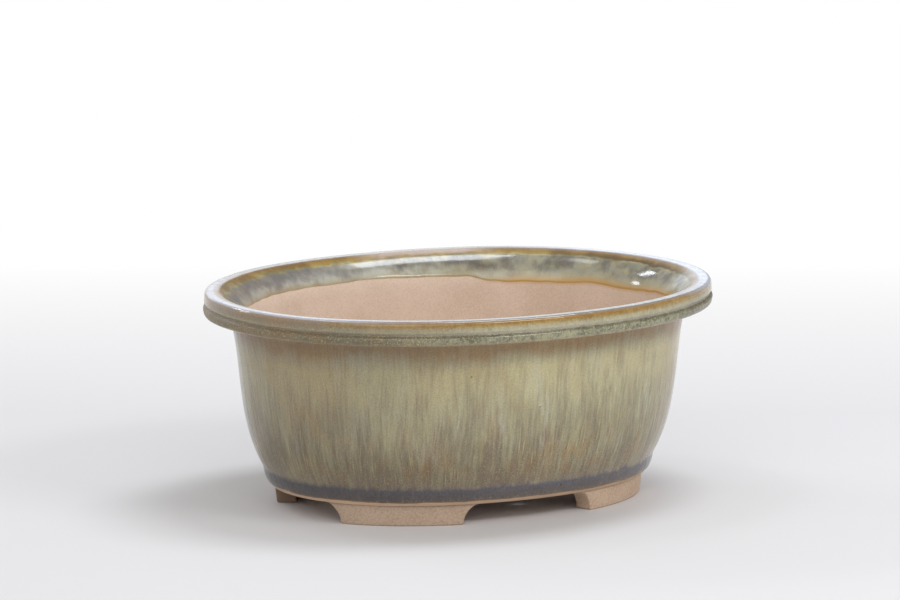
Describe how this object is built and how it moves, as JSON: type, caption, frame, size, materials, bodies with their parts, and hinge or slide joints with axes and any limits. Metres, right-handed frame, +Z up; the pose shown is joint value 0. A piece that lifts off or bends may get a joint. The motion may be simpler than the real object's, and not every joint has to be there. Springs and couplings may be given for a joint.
{
  "type": "oval bonsai pot",
  "caption": "Oval glazed stoneware bonsai pot: flared banded rim, curved tapering wall, moulded base slab with drain holes, low arched feet.",
  "frame": {"origin": "centre of the oval, on the ground under the feet", "axes": "+X along the pot's length to the right, +Y across it to the back, +Z up"},
  "size_m": [0.2508, 0.2022, 0.1025],
  "materials": {
    "clay": "matte bare fired clay",
    "glaze": "gloss streaked ash glaze"
  },
  "bodies": {
    "root": {"floor_slab": "clay", "pot_wall": "glaze", "rim": "glaze", "foot_front_left": "clay", "foot_front_right": "clay", "foot_back_left": "clay", "foot_back_right": "clay"}
  },
  "joints": []
}
